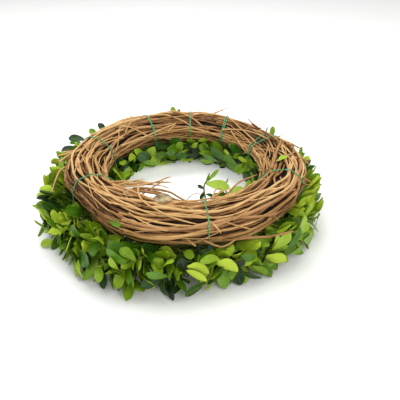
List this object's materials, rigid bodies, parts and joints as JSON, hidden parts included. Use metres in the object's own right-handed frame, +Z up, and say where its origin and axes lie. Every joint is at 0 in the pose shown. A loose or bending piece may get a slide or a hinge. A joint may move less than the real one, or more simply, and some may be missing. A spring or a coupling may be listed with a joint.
{
  "type": "boxwood wreath",
  "caption": "Round wreath of boxwood sprigs tied with green wire to a ring of dried vines, lying on its leafy face with the vine back up.",
  "frame": {"origin": "on the surface that the wreath lies on, under the middle of the wreath; the vine ring's own axis is at x 0.0046, y 0.0014, because the foliage spreads farther on the other side", "axes": "+Z up, from the leafy face to the vine back; -Y towards the side nearest the viewer in the picture, +X to the viewer's right"},
  "size_m": [0.3161, 0.3238, 0.0757],
  "materials": {
    "vine": "dry bark",
    "wire": "green coating on thin steel wire",
    "boxwood": "fresh leaf, waxy above",
    "dry_leaf": "dry leaf, matt"
  },
  "bodies": {
    "root": {"vine_ring": "vine", "tie_wire_01": "wire", "tie_wire_02": "wire", "tie_wire_03": "wire", "tie_wire_04": "wire", "tie_wire_05": "wire", "tie_wire_06": "wire", "tie_wire_07": "wire", "tie_wire_08": "wire", "boxwood_bunch_01": "boxwood", "boxwood_bunch_02": "boxwood", "boxwood_bunch_03": "boxwood", "boxwood_bunch_04": "boxwood", "boxwood_bunch_05": "boxwood", "boxwood_bunch_06": "boxwood", "boxwood_bunch_07": "boxwood", "boxwood_bunch_08": "boxwood", "boxwood_bunch_09": "boxwood", "boxwood_bunch_10": "boxwood", "boxwood_bunch_11": "boxwood", "boxwood_bunch_12": "boxwood", "boxwood_bunch_13": "boxwood", "boxwood_bunch_14": "boxwood", "boxwood_bunch_15": "boxwood", "boxwood_bunch_16": "boxwood", "dry_leaf": "dry_leaf"}
  },
  "joints": []
}
